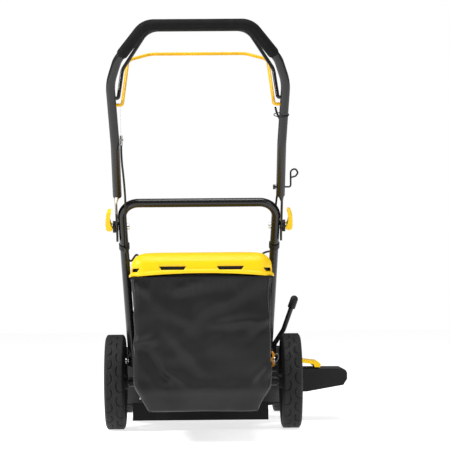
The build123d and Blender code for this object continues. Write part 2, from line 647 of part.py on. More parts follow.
# ---- small parts that come off or pull out
grip = fillet(block(43, 77, 214, 228, 389, 407).edges(), 5) + bar((60, 226, 398), (60, 239.6, 398), 6)
nodes["starter_grip"] = grip
cap = disc(-147, 290, 341.4, 360, 22)
for n in range(12):
    cap -= Pos(-147, 290, 0) * Rot(0, 0, 30 * n) * disc(24.5, 0, 340, 362, 4)
cap += disc(-147, 290, 326, 342, 9.9)
nodes["fuel_cap"] = cap
stick = bar((98.2, 213.7, 300.5), (103.9, 204.5, 314.1), 15)
stick += bar((84.8, 235.2, 268.8), (98.2, 213.7, 300.5), 7.5)
nodes["dipstick"] = stick
wash = disc(-120, 505, DECK_TOP_Z, 196, 8) + disc(-120, 505, DECK_TOP_Z, 174, 13)
nodes["wash_port"] = wash - disc(-120, 505, DECK_TOP_Z - 1, 200, 5)
nodes["deck_shell"] -= disc(-120, 505, 150, 180, 5)

os.makedirs("parts", exist_ok=True)
for name, solid in nodes.items():
    export_step(solid, f"parts/{name}.step")
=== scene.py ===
"""Looks of a walk-behind rotary mower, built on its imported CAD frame."""

import json
import math

import bpy
from mathutils import Matrix, Vector, noise


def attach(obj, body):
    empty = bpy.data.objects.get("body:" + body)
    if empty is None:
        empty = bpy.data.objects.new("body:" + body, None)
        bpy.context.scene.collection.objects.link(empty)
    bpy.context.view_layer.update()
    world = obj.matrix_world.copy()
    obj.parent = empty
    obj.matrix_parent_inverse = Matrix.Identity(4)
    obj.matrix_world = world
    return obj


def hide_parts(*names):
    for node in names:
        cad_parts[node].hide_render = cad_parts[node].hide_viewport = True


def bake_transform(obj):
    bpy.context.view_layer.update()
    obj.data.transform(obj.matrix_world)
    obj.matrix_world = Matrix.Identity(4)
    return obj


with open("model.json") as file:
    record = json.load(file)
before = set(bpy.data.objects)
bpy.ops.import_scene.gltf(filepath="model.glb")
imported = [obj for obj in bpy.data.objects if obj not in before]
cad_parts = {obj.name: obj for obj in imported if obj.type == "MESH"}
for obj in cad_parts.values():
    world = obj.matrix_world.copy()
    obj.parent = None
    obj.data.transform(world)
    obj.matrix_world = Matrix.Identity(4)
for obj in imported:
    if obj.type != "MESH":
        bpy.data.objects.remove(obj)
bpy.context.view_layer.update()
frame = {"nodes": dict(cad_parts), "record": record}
NODES = frame["nodes"]

# ---- camera: behind the mower, a little above the bag, slightly turned and rolled
CAMERA_AT = (0.0, -5.0, 0.369)
CAMERA_LENS = 148.2
CAMERA_PITCH = 2.04
CAMERA_YAW = -0.8
CAMERA_ROLL = -0.5

camera_data = bpy.data.cameras.new("camera")
camera_data.lens = CAMERA_LENS
camera_data.sensor_width = 36
camera_data.clip_end = 100
camera = bpy.data.objects.new("camera", camera_data)
bpy.context.scene.collection.objects.link(camera)
turn = Matrix.Rotation(math.radians(CAMERA_YAW), 4, "Z")
tilt = Matrix.Rotation(math.radians(90 + CAMERA_PITCH), 4, "X")
roll = Matrix.Rotation(math.radians(CAMERA_ROLL), 4, "Z")
camera.matrix_world = Matrix.Translation(CAMERA_AT) @ turn @ tilt @ roll
bpy.context.scene.camera = camera


# ---- materials
class Nodes:
    """A material's nodes, with short calls to add and join them."""

    def __init__(self, name):
        self.material = bpy.data.materials.new(name)
        self.material.use_nodes = True
        self.tree = self.material.node_tree
        self.shader = self.tree.nodes["Principled BSDF"]

    def add(self, kind, **properties):
        """A node with the given properties."""
        node = self.tree.nodes.new(kind)
        for key, value in properties.items():
            setattr(node, key, value)
        return node

    def join(self, output, target):
        """Joins an output socket to an input socket."""
        self.tree.links.new(output, target)

    def coordinates(self):
        """Coordinates that stay with the object."""
        return self.add("ShaderNodeTexCoord").outputs["Object"]

    def noise(self, scale, detail=4):
        """A noise value over the object."""
        texture = self.add("ShaderNodeTexNoise")
        texture.inputs["Scale"].default_value = scale
        texture.inputs["Detail"].default_value = detail
        texture.inputs["Roughness"].default_value = 0.55
        self.join(self.coordinates(), texture.inputs["Vector"])
        return texture.outputs["Fac"]

    def ramp(self, value, low, high):
        """The middle of a value's range spread between two colours."""
        node = self.add("ShaderNodeValToRGB")
        for element, position, colour in zip(node.color_ramp.elements, (0.3, 0.7), (low, high)):
            element.position = position
            element.color = (*colour, 1)
        self.join(value, node.inputs["Fac"])
        return node.outputs["Color"]

    def spread(self, value, low, high):
        """A value from 0 to 1 moved to a range."""
        node = self.add("ShaderNodeMapRange")
        node.inputs["To Min"].default_value = low
        node.inputs["To Max"].default_value = high
        self.join(value, node.inputs["Value"])
        return node.outputs["Result"]

    def bump(self, value, strength, depth):
        """A bump on the surface."""
        node = self.add("ShaderNodeBump")
        node.inputs["Strength"].default_value = strength
        node.inputs["Distance"].default_value = depth
        self.join(value, node.inputs["Height"])
        self.join(node.outputs["Normal"], self.shader.inputs["Normal"])


GRAIN_DEPTH = 0.0004


def surface(
    name, colour, rough, metal=0.0, gloss=0.35, coat=0.0, grain=900, bump=0.15, shift=0.12
):
    """Paint, plastic or metal with fine grain and a little colour and gloss variation."""
    m = Nodes(name)
    low = tuple(c * (1 - shift) for c in colour)
    high = tuple(min(1.0, c * (1 + shift)) for c in colour)
    m.join(m.ramp(m.noise(14), low, high), m.shader.inputs["Base Color"])
    m.join(m.spread(m.noise(60), rough * 0.8, rough * 1.25), m.shader.inputs["Roughness"])
    m.shader.inputs["Metallic"].default_value = metal
    m.shader.inputs["Specular IOR Level"].default_value = gloss
    m.shader.inputs["Coat Weight"].default_value = coat
    m.shader.inputs["Coat Roughness"].default_value = 0.15
    m.bump(m.noise(grain, 2), bump, GRAIN_DEPTH)
    return m.material


def woven(name, colour, rough):
    """Coated cloth: a fine plain weave, a soft sheen and uneven wear."""
    m = Nodes(name)
    low = tuple(c * 0.75 for c in colour)
    high = tuple(c * 1.6 for c in colour)
    m.join(m.ramp(m.noise(7, 5), low, high), m.shader.inputs["Base Color"])
    m.join(m.spread(m.noise(22), rough * 0.8, rough * 1.2), m.shader.inputs["Roughness"])
    m.shader.inputs["Specular IOR Level"].default_value = 0.22
    threads = []
    for direction in ("X", "Z"):
        wave = m.add("ShaderNodeTexWave", bands_direction=direction)
        wave.inputs["Scale"].default_value = 330
        wave.inputs["Distortion"].default_value = 0.6
        m.join(m.coordinates(), wave.inputs["Vector"])
        threads.append(wave.outputs["Fac"])
    weave = m.add("ShaderNodeMath", operation="MULTIPLY")
    m.join(threads[0], weave.inputs[0])
    m.join(threads[1], weave.inputs[1])
    m.bump(weave.outputs["Value"], 0.25, GRAIN_DEPTH)
    return m.material


# A surface's colour and roughness, and what else sets it apart.
SURFACES = {
    "black_paint": ((0.004, 0.004, 0.0045), 0.26, {"gloss": 0.4, "grain": 500}),
    "deck_paint": ((0.004, 0.004, 0.0045), 0.42, {"gloss": 0.2, "grain": 400}),
    "yellow_paint": ((0.68, 0.37, 0.0), 0.3, {"gloss": 0.3, "grain": 500}),
    "steel": ((0.56, 0.55, 0.53), 0.32, {"metal": 1.0, "grain": 700}),
    "dark_steel": ((0.01, 0.01, 0.011), 0.4, {"metal": 0.1, "grain": 500, "bump": 0.3}),
    "cast_alloy": ((0.42, 0.42, 0.43), 0.5, {"metal": 0.9, "grain": 300, "bump": 0.4}),
    "chrome_wire": ((0.7, 0.7, 0.7), 0.15, {"metal": 1.0}),
    "tyre_rubber": (
        (0.014, 0.014, 0.0145),
        0.65,
        {"gloss": 0.25, "grain": 700, "bump": 0.3, "shift": 0.35},
    ),
    "flap_rubber": ((0.006, 0.006, 0.006), 0.65, {"gloss": 0.2, "grain": 500, "bump": 0.3}),
    "foam": ((0.006, 0.006, 0.0065), 0.8, {"gloss": 0.15, "grain": 1500, "bump": 0.7}),
    "black_plastic": ((0.006, 0.006, 0.0065), 0.45, {"gloss": 0.25, "grain": 1100, "bump": 0.3}),
    "yellow_plastic": ((0.84, 0.53, 0.0), 0.42, {"gloss": 0.3, "shift": 0.02}),
    "piping": ((0.022, 0.022, 0.022), 0.5, {"grain": 700, "bump": 0.4}),
    "amber_plastic": ((0.85, 0.33, 0.01), 0.4, {"coat": 0.2, "shift": 0.05}),
}
MATERIALS = {
    name: surface(name, colour, rough, **more) for name, (colour, rough, more) in SURFACES.items()
}
MATERIALS["bag_cloth"] = woven("bag_cloth", (0.0075, 0.0075, 0.008), 0.5)
slots = {s["node"]: s["material_slot"] for s in frame["record"]["subparts"]}
for node, obj in NODES.items():
    obj.data.materials.clear()
    obj.data.materials.append(MATERIALS[slots[node]])
for node in ("rear_axle", "front_axle", "gearbox", "height_lever", "handle_brackets"):
    NODES[node].data.materials[0] = MATERIALS["dark_steel"]


# ---- mesh tools
def mesh_object(name, vertices, faces, material, smooth=True):
    """A new object from vertices in metres, faces and a material."""
    mesh = bpy.data.meshes.new(name)
    mesh.from_pydata(vertices, [], faces)
    mesh.materials.append(MATERIALS[material])
    if smooth:
        mesh.shade_smooth()
    obj = bpy.data.objects.new(name, mesh)
    bpy.context.scene.collection.objects.link(obj)
    return obj


def grid_faces(rows, columns, close_rows=False, close_columns=False):
    """The quads of a grid of vertices, numbered row by row."""
    faces = []
    for i in range(rows if close_rows else rows - 1):
        for j in range(columns if close_columns else columns - 1):
            a, b = i, (i + 1) % rows
            c, d = j, (j + 1) % columns
            faces.append((a * columns + c, a * columns + d, b * columns + d, b * columns + c))
    return faces


def apply_modifiers(obj):
    """Puts an object's modifiers into its mesh."""
    graph = bpy.context.evaluated_depsgraph_get()
    mesh = bpy.data.meshes.new_from_object(obj.evaluated_get(graph))
    obj.modifiers.clear()
    obj.data = mesh


def smoothstep(low, high, value):
    """0 at low and before it, 1 at high and beyond it, and smooth between."""
    t = min(1.0, max(0.0, (value - low) / (high - low)))
    return t * t * (3 - 2 * t)


def near_segment(p, a, b):
    """The distance from a point to a segment, in a plane."""
    ax, ay = b[0] - a[0], b[1] - a[1]
    t = ((p[0] - a[0]) * ax + (p[1] - a[1]) * ay) / (ax * ax + ay * ay)
    t = min(1.0, max(0.0, t))
    return math.hypot(p[0] - a[0] - t * ax, p[1] - a[1] - t * ay)


# ---- tyres: moulded J-shaped grooves run in from both shoulders
GROOVE_DEPTH = 0.0028
GROOVE_HALF = 0.0013
GROOVE_SPACING = 0.04
STEPS_PER_GROOVE = 20
STEPS_ACROSS = 46
WALL_HEIGHT = 0.034
TRACK_HALF = 0.262
TRACK_SHIFT = 0.008


def tread_depth(run, across, pitch, half_width):
    """How deep the tread is cut at a point, as a part of the groove depth."""
    cut = 0.0
    for side, offset in ((1, 0.0), (-1, 0.5)):
        u = (run / pitch - offset) % 1.0 * pitch
        v = across * side
        hook = [(0, half_width * 1.1), (0, half_width * 0.5), (0.12 * pitch, half_width * 0.28)]
        hook += [(0.42 * pitch, half_width * 0.2), (0.62 * pitch, half_width * 0.3)]
        for shift in (0, pitch, -pitch):
            for a, b in zip(hook, hook[1:]):
                d = near_segment((u + shift, v), a, b)
                cut = max(cut, 1 - smoothstep(GROOVE_HALF * 0.6, GROOVE_HALF * 1.5, d))
    return cut


def make_tyre(name, side, y, radius, inner, outer, body):
    """A tyre with its tread, on the same place and size as its CAD ring."""
    half = (outer - inner) / 2
    middle = (outer + inner) / 2
    rim = radius - WALL_HEIGHT
    pitch_count = round(2 * math.pi * radius / GROOVE_SPACING)
    pitch = 2 * math.pi * radius / pitch_count
    around = pitch_count * STEPS_PER_GROOVE
    flat = half - 0.007
    section = [(-half + 0.007, rim), (-half + 0.003, rim + 0.009), (-half + 0.0008, rim + 0.014)]
    section += [(-half, radius - 0.016), (-half + 0.0006, radius - 0.010)]
    section += [(-half + 0.0028, radius - 0.0045), (-half + 0.005, radius - 0.0015)]
    tread = [(-flat + 2 * flat * k / STEPS_ACROSS, radius) for k in range(STEPS_ACROSS + 1)]
    section += tread + [(-x, r) for x, r in reversed(section)]
    vertices = []
    for i in range(around):
        angle = 2 * math.pi * i / around
        for x, r in section:
            if r > radius - 0.012:
                depth = tread_depth(radius * angle, x, pitch, half)
                r -= GROOVE_DEPTH * depth * (1 if r == radius else 0.6)
            at_x = TRACK_SHIFT + side * (middle + x)
            vertices.append((at_x, y + r * math.sin(angle), radius + r * math.cos(angle)))
    faces = grid_faces(around, len(section), close_rows=True, close_columns=True)
    if side < 0:
        faces = [tuple(reversed(f)) for f in faces]
    tyre = mesh_object(name, vertices, faces, "tyre_rubber")
    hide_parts(f"{body}_tyre")
    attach(tyre, f"{body}_roller")


for side, word in ((-1, "left"), (1, "right")):
    make_tyre(f"rear_{word}_tread", side, 0.0, 0.127, 0.208, TRACK_HALF, f"rear_{word}")
    make_tyre(f"front_{word}_tread", side, 0.7, 0.1, 0.212, TRACK_HALF, f"front_{word}")


# ---- lines through space, in millimetres like the CAD's own numbers
MM = 0.001
LOWER_PIVOT = (-40, 185)
LOWER_RISE = (-0.643, 0.766)
CAM_JOINT = (-332, 533)
BAIL_PIVOT = (-544, 819)
UPPER_RISE = (-0.469, 0.883)


def along(start, direction, distance, side=0.0):
    """A y and z reached from a start, then off to the side."""
    y = start[0] + direction[0] * distance + direction[1] * side
    return y, start[1] + direction[1] * distance - direction[0] * side


def leg_side(x, distance, off):
    """A point beside the lower handle's leg, off it towards the rear."""
    return (x, *along(LOWER_PIVOT, LOWER_RISE, distance, -off))


def nurbs_line(name, points, radius):
    """A smooth line led by millimetre points, as the mesh of a round bar."""
    curve = bpy.data.curves.new(name, "CURVE")
    curve.dimensions = "3D"
    spline = curve.splines.new("NURBS")
    spline.points.add(len(points) - 1)
    for target, point in zip(spline.points, points):
        target.co = (*(v * MM for v in point), 1)
    spline.order_u = 3
    spline.use_endpoint_u = True
    spline.resolution_u = 12
    curve.bevel_depth = radius * MM
    curve.bevel_resolution = 4
    curve.use_fill_caps = True
    obj = bpy.data.objects.new(name, curve)
    bpy.context.scene.collection.objects.link(obj)
    mesh = bpy.data.meshes.new_from_object(obj.evaluated_get(bpy.context.evaluated_depsgraph_get()))
    bpy.data.objects.remove(obj)
    return mesh


def cable(name, points, radius, material):
    """A cable or wire held at both ends."""
    mesh = nurbs_line(name, points, radius)
    mesh.materials.clear()
    mesh.materials.append(MATERIALS[material])
    mesh.shade_smooth()
    obj = bpy.data.objects.new(name, mesh)
    bpy.context.scene.collection.objects.link(obj)
    return obj


def sweep_tube(name, path, radii, material, sides):
    """A round bar of changing radius along a path of Vectors in metres."""
    vertices = []
    side = Vector((0, 0, 1))
    for i, at in enumerate(path):
        run = (path[min(i + 1, len(path) - 1)] - path[max(i - 1, 0)]).normalized()
        side = (side - run * side.dot(run)).normalized()
        other = run.cross(side)
        for j in range(sides):
            angle = 2 * math.pi * j / sides
            vertices.append(at + (side * math.cos(angle) + other * math.sin(angle)) * radii[i])
    faces = grid_faces(len(path), sides, close_columns=True)
    faces.append(tuple(range(sides)))
    faces.append(tuple(reversed(range(len(vertices) - sides, len(vertices)))))
    return mesh_object(name, vertices, faces, material)


def rounded_path(points, radius, step):
    """Millimetre points joined by lines with arcs at the corners, as evenly spaced Vectors."""
    arc_steps = 12
    corners = [Vector(p) * MM for p in points]
    line = [corners[0]]
    for before, corner, after in zip(corners, corners[1:], corners[2:]):
        back = (before - corner).normalized()
        ahead = (after - corner).normalized()
        half = back.angle(ahead) / 2
        trim = radius * MM / math.tan(half)
        centre = corner + (back + ahead).normalized() * radius * MM / math.sin(half)
        start = (corner + back * trim - centre).normalized()
        end = (corner + ahead * trim - centre).normalized()
        turn_angle = start.angle(end)
        for k in range(arc_steps + 1):
            t = k / arc_steps
            spoke = start * math.sin((1 - t) * turn_angle) + end * math.sin(t * turn_angle)
            line.append(centre + spoke / math.sin(turn_angle) * radius * MM)
    line.append(corners[-1])
    spaced = [line[0]]
    for a, b in zip(line, line[1:]):
        count = max(1, round((b - a).length / step))
        spaced += [a.lerp(b, (k + 1) / count) for k in range(count)]
    return spaced


# ---- cables: they leave the handle's clips in loose arcs to the engine
BRACKET = along((-496, 728), UPPER_RISE, 14)
drive_upper = [
    (-188, BRACKET[0], BRACKET[1] - 16),
    (-188, BRACKET[0], BRACKET[1] - 46),
    (-184, BRACKET[0] + 38, BRACKET[1] - 92),
    leg_side(-182, 552, 20),
    leg_side(-185, 500, 15.2),
    leg_side(-185, 452, 15.2),
]
drive_lower = [
    leg_side(-185, 452, 15.2),
    leg_side(-185, 374, 15.2),
    leg_side(-175, 346, 12),
    (-163, -238, 466),
    (-158, -180, 462),
    (-156, -115, 450),
    (-150, -50, 446),
    (-138, 20, 448),
    (-120, 90, 444),
    (-106, 160, 425),
    (-97, 215, 392),
    (-94, 268, 345),
]
stop_upper = [
    (187, *along(BAIL_PIVOT, UPPER_RISE, -14, 14)),
    (190, *along(BAIL_PIVOT, UPPER_RISE, -30, 15)),
    (202, *along(BAIL_PIVOT, UPPER_RISE, -52, 15)),
    (204, *along(BAIL_PIVOT, UPPER_RISE, -96, 16)),
    leg_side(202, 600, -16),
    leg_side(194, 530, -16),
    leg_side(191, 470, -15.2),
]
stop_lower = [
    leg_side(191, 470, -15.2),
    leg_side(191, 360, -15.2),
    (172, -190, 470),
    (160, -120, 462),
    (150, -50, 452),
    (132, 20, 450),
    (114, 90, 442),
    (98, 150, 424),
    (90, 200, 396),
    (88, 268, 345),
]
CABLE_R = 2.6
for name, points in (("drive_cable_upper", drive_upper), ("stop_cable_upper", stop_upper)):
    piece = cable(f"{name}_run", points, CABLE_R, "black_plastic")
    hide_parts(name)
    low = Vector((0, *along(CAM_JOINT, LOWER_RISE, -20))) * MM
    high = Vector((0, *along(CAM_JOINT, LOWER_RISE, 100))) * MM
    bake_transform(piece)
for name, points in (("drive_cable_lower", drive_lower), ("stop_cable_lower", stop_lower)):
    piece = cable(f"{name}_run", points, CABLE_R, "black_plastic")
    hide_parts(name)
    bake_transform(piece)

# ---- foam grip: a soft sleeve with rounded ends and a groove along it
GRIP_RADIUS = 0.01385
GRIP_UNEVEN = 0.00025
GRIP_END_ROUND = 0.0022
GRIP_SIDES = 48
GROOVE_SINK = 0.0016
grip_line = [
    (-183.5, *along(BAIL_PIVOT, UPPER_RISE, 126.74)),
    (-125, *along(BAIL_PIVOT, UPPER_RISE, 203.4)),
    (125, *along(BAIL_PIVOT, UPPER_RISE, 203.4)),
    (183.5, *along(BAIL_PIVOT, UPPER_RISE, 126.74)),
]
grip_path = rounded_path(grip_line, 42, 0.003)
grip_radii = []
for i, point in enumerate(grip_path):
    from_end = min(i, len(grip_path) - 1 - i)
    end_round = GRIP_END_ROUND * (1 - smoothstep(0, 2, from_end))
    grip_radii.append(GRIP_RADIUS + GRIP_UNEVEN * noise.noise(point * 25) - end_round)
grip = sweep_tube("grip_sleeve", grip_path, grip_radii, "foam", sides=GRIP_SIDES)
for vertex in grip.data.vertices:
    off = vertex.co - grip_path[vertex.index // GRIP_SIDES]
    rise = off.dot(Vector((0, *UPPER_RISE))) / off.length
    facing = off.dot(Vector((0, -UPPER_RISE[1], UPPER_RISE[0])))
    if facing > 0:
        vertex.co -= off.normalized() * GROOVE_SINK * math.exp(-(((rise + 0.12) / 0.1) ** 2))
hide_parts("grip_foam")
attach(grip, "upper_frame")

# ---- bag lid: a moulded shell, rounded over its top edges, with slots in its rear wall
BAG_SHIFT = 0.005
REAR_Y, FRONT_Y = -0.52, -0.083
RIM_Z, LID_TOP = 0.404, 0.462
LID_SLOPE_Y = -0.3
REAR_HALF, FRONT_HALF = 0.174, 0.166
LID_CORNER = 0.034
SIDE_STEPS, CORNER_STEPS, REAR_STEPS = 40, 12, 48


def plan_ring(inset, corner, rear_y=REAR_Y, front_y=FRONT_Y, rear=REAR_HALF, front=FRONT_HALF):
    """A tapered rectangle with round rear corners, inset all round, from its front left."""
    radius = max(corner - inset, 0.002)
    back = rear_y + inset + radius
    side = rear - inset - radius
    ring = []
    for k in range(SIDE_STEPS):
        t = k / SIDE_STEPS
        y = front_y - inset + (back - front_y + inset) * t
        ring.append((-(front + (rear - front) * t) + inset, y))
    for k in range(CORNER_STEPS):
        angle = math.radians(90 * k / CORNER_STEPS)
        ring.append((-side - radius * math.cos(angle), back - radius * math.sin(angle)))
    for k in range(REAR_STEPS):
        ring.append((-side + 2 * side * k / REAR_STEPS, back - radius))
    for k in range(CORNER_STEPS):
        angle = math.radians(90 * k / CORNER_STEPS)
        ring.append((side + radius * math.sin(angle), back - radius * math.cos(angle)))
    for k in range(SIDE_STEPS + 1):
        t = 1 - k / SIDE_STEPS
        y = front_y - inset + (back - front_y + inset) * t
        ring.append((front + (rear - front) * t - inset, y))
    for k in range(1, SIDE_STEPS):
        ring.append((front - inset - 2 * (front - inset) * k / SIDE_STEPS, front_y - inset))
    return ring


def lid_height(y, z):
    """A height on the lid, lowered where the lid slopes down to the door."""
    top = LID_TOP - 0.05 * max(0.0, y - LID_SLOPE_Y) / (FRONT_Y - LID_SLOPE_Y)
    return RIM_Z + (z - RIM_Z) * (top - RIM_Z) / (LID_TOP - RIM_Z)


def rim_arch(x, y):
    """How far the lid's rim rises towards the middle of its rear edge."""
    return 0.009 * (1 - min(1.0, (x / REAR_HALF) ** 2)) * smoothstep(-0.4, -0.5, y)


lid_profile = [(0, 0.404), (0, 0.4085), (0.0015, 0.4105), (0.004, 0.4115), (0.0045, 0.416)]
lid_profile += [(0.0055, 0.432), (0.0075, 0.4395), (0.0115, 0.4465), (0.0175, 0.4525)]
lid_profile += [(0.0255, 0.457), (0.036, 0.4596), (0.055, 0.4612), (0.085, 0.4622)]
lid_profile += [(0.12, 0.4628), (0.16, 0.463)]
lid_vertices = []
for inset, z in lid_profile:
    for x, y in plan_ring(inset, LID_CORNER):
        height = lid_height(y, z) + rim_arch(x, y) * smoothstep(0.446, 0.43, z)
        lid_vertices.append((x + BAG_SHIFT, y, height))
ring_size = len(plan_ring(0, LID_CORNER))
lid_faces = grid_faces(len(lid_profile), ring_size, close_columns=True)
lid_faces.append(tuple(range(len(lid_vertices) - ring_size, len(lid_vertices))))
lid = mesh_object("lid_shell", lid_vertices, lid_faces, "yellow_plastic")
thick = lid.modifiers.new("wall", "SOLIDIFY")
thick.thickness = 0.0026
thick.offset = 1.0
SLOTS = [  # the middle, half width, lower and upper edge of each
    (-0.07, 0.033, 0.421, 0.4295),
    (0.07, 0.033, 0.421, 0.4295),
    (-0.172, 0.022, 0.4165, 0.425),
    (0.172, 0.022, 0.4165, 0.425),
]
SLOT_SLANT = 0.006
BOX_FACES = [(3, 2, 1, 0), (4, 5, 6, 7), (1, 5, 4, 0), (2, 6, 5, 1), (3, 7, 6, 2), (0, 4, 7, 3)]
slot_vertices = []
slot_faces = []
for x, half, low, high in SLOTS:
    first = len(slot_vertices)
    short = half - SLOT_SLANT
    for y in (-0.54, -0.497):
        for dx, z in ((-half, high), (half, high), (short, low), (-short, low)):
            slot_vertices.append((x + dx + BAG_SHIFT, y, z))
    for face in BOX_FACES:
        slot_faces.append(tuple(first + v for v in face))
cutter = mesh_object("slot_cutter", slot_vertices, slot_faces, "yellow_plastic", smooth=False)
slots_cut = lid.modifiers.new("slots", "BOOLEAN")
slots_cut.object = cutter
slots_cut.operation = "DIFFERENCE"
apply_modifiers(lid)
bpy.data.objects.remove(cutter)
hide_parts("bag_lid")
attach(lid, "bag")

# The screen lies behind the slots, round the rear wall and its two corners.
SCREEN_HEIGHTS = (0.412, 0.42, 0.428, 0.436)
screen_ring = plan_ring(0.0095, LID_CORNER)[30:124]
screen_vertices = []
for z in SCREEN_HEIGHTS:
    screen_vertices += [(x + BAG_SHIFT, y, z + rim_arch(x, y)) for x, y in screen_ring]
screen_faces = grid_faces(len(SCREEN_HEIGHTS), len(screen_ring))
screen = mesh_object("lid_vent_screen", screen_vertices, screen_faces, "black_plastic")
thick = screen.modifiers.new("wall", "SOLIDIFY")
thick.thickness = 0.001
apply_modifiers(screen)
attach(screen, "bag")

# ---- grass bag: a sewn shell hung from the lid's rim and held open at its mouth
BAG_TOP, BAG_FOLD, BAG_LOW = 0.402, 0.152, 0.078
MOUTH_HALF, MOUTH_LOW, MOUTH_HIGH = 0.15, 0.182, 0.392
BAG_FRONT = -0.0855
WALL_ROWS = 34
FLOOR_RINGS = 8


def bag_ring(z):
    """The bag's plan at a height: it bulges at its fold and draws in below it."""
    drop = 1 - smoothstep(BAG_LOW, BAG_FOLD + 0.004, z)
    below = max(0.0, (BAG_FOLD - z) / (BAG_FOLD - BAG_LOW))
    bulge = 0.007 * math.sin(math.pi * min(1.0, below * 2))
    rear_y = -0.509 - bulge + 0.04 * max(0.0, below - 0.35)
    narrow = 0.034 * drop
    rear, front = 0.1715 - narrow, 0.161 - narrow * 0.5
    return plan_ring(0.0, 0.022, rear_y=rear_y, front_y=BAG_FRONT, rear=rear, front=front)


heights = [BAG_TOP - (BAG_TOP - BAG_LOW) * k / WALL_ROWS for k in range(WALL_ROWS + 1)]
bag_vertices = []
for z in heights:
    raise_by = smoothstep(BAG_TOP - 0.04, BAG_TOP, z)
    ring = bag_ring(z)
    bag_vertices += [(x + BAG_SHIFT, y, z + rim_arch(x, y) * raise_by) for x, y in ring]
columns = len(bag_ring(BAG_TOP))
bag_faces = grid_faces(len(heights), columns, close_columns=True)
low_ring = bag_ring(BAG_LOW)
floor_y = -0.27
floor_sag = 0.0015
previous = len(bag_vertices) - columns
for k in range(1, FLOOR_RINGS + 1):
    inward = k / (FLOOR_RINGS + 1)
    shrink = 1 - inward
    first = len(bag_vertices)
    for x, y in low_ring:
        at_y = floor_y + (y - floor_y) * shrink
        bag_vertices.append((x * shrink + BAG_SHIFT, at_y, BAG_LOW - floor_sag * inward))
    for j in range(columns):
        nxt = (j + 1) % columns
        bag_faces.append((previous + j, previous + nxt, first + nxt, first + j))
    previous = first
bag_faces.append(tuple(range(previous, previous + columns)))


def in_mouth(face):
    """Whether a face lies in the bag's open mouth."""
    x, y, z = sum((Vector(bag_vertices[v]) for v in face), Vector()) / len(face)
    return y > -0.087 and abs(x - BAG_SHIFT) < MOUTH_HALF and MOUTH_LOW < z < MOUTH_HIGH


bag_faces = [f for f in bag_faces if not in_mouth(f)]
bag = mesh_object("grass_bag_cloth", bag_vertices, bag_faces, "bag_cloth")
rest_points = [v.co.copy() for v in bag.data.vertices]
CLOTH_FRAMES = 25
CLOTH_TRAVEL = 0.009
held = bag.vertex_groups.new(name="held")
pinned = [v.index for v in bag.data.vertices if v.index < columns or v.co.y > -0.089]
held.add(pinned, 1.0, "REPLACE")
cloth = bag.modifiers.new("cloth", "CLOTH")
cloth.settings.vertex_group_mass = "held"
cloth.settings.quality = 6
cloth.settings.mass = 0.35
cloth.settings.shrink_min = -0.055
cloth.settings.tension_stiffness = 25
cloth.settings.compression_stiffness = 25
cloth.settings.bending_stiffness = 0.4
cloth.settings.use_pressure = True
cloth.settings.uniform_pressure_force = 0.35
for frame_number in range(1, CLOTH_FRAMES + 1):
    bpy.context.scene.frame_set(frame_number)
apply_modifiers(bag)
bag.vertex_groups.clear()
bpy.context.scene.frame_set(1)

# The folds that the hanging cloth keeps in its rear panel: two ends in x and z, how far each
# stands out, and how wide it is.
CREASES = [
    ((-0.165, 0.39), (-0.12, 0.36), 0.004, 0.011),
    ((-0.06, 0.362), (0.012, 0.39), 0.005, 0.012),
    ((0.03, 0.283), (0.158, 0.296), 0.006, 0.013),
    ((0.12, 0.268), (0.165, 0.3), 0.005, 0.01),
    ((-0.166, 0.238), (-0.1, 0.25), 0.006, 0.011),
    ((-0.155, 0.238), (-0.085, 0.142), -0.006, 0.015),
    ((-0.08, 0.27), (0.005, 0.165), 0.004, 0.02),
    ((-0.1, 0.175), (-0.035, 0.145), 0.005, 0.01),
    ((0.165, 0.19), (0.13, 0.15), 0.006, 0.012),
    ((-0.12, 0.34), (-0.02, 0.285), 0.003, 0.022),
]


def crease_depth(x, z, start, end, height, width):
    """One fold's height at a point: a ridge with a hollow along its lower side."""
    ax, az = end[0] - start[0], end[1] - start[1]
    length = math.hypot(ax, az)
    t = ((x - start[0]) * ax + (z - start[1]) * az) / length**2
    fade = smoothstep(-0.2, 0.25, t) * smoothstep(1.2, 0.75, t)
    off = ((z - start[1]) * ax - (x - start[0]) * az) / length / width
    return height * fade * (off + 0.45) * 2.4 * math.exp(-(off**2))


for vertex, start in zip(bag.data.vertices, rest_points):
    move = vertex.co - start
    if move.length > CLOTH_TRAVEL:
        move *= CLOTH_TRAVEL / move.length
    slant = Vector((start.x * 6 + start.z * 5 + 3, start.z * 13 - start.x * 9, start.y * 6))
    ridge = 1 - abs(noise.noise(slant)) * 3
    small = Vector((start.x * 24 - start.z * 12, start.z * 27, start.y * 20))
    ripple = 0.0045 * ridge + 0.0022 * noise.noise(small)
    if start.y < -0.47:
        ripple += sum(crease_depth(start.x, start.z, *crease) for crease in CREASES)
    free = smoothstep(0.0, 0.03, BAG_TOP - start.z) * smoothstep(-0.086, -0.14, start.y)
    outward = Vector((start.x - BAG_SHIFT, start.y + 0.3, 0)).normalized()
    vertex.co = start + move + outward * ripple * free
    reach = abs(start.x - BAG_SHIFT) + 0.0025
    vertex.co.x = max(BAG_SHIFT - reach, min(BAG_SHIFT + reach, vertex.co.x))
    vertex.co.y = max(-0.524, min(-0.0835, vertex.co.y))
    vertex.co.z = max(0.0755, vertex.co.z)
bag.data.shade_smooth()
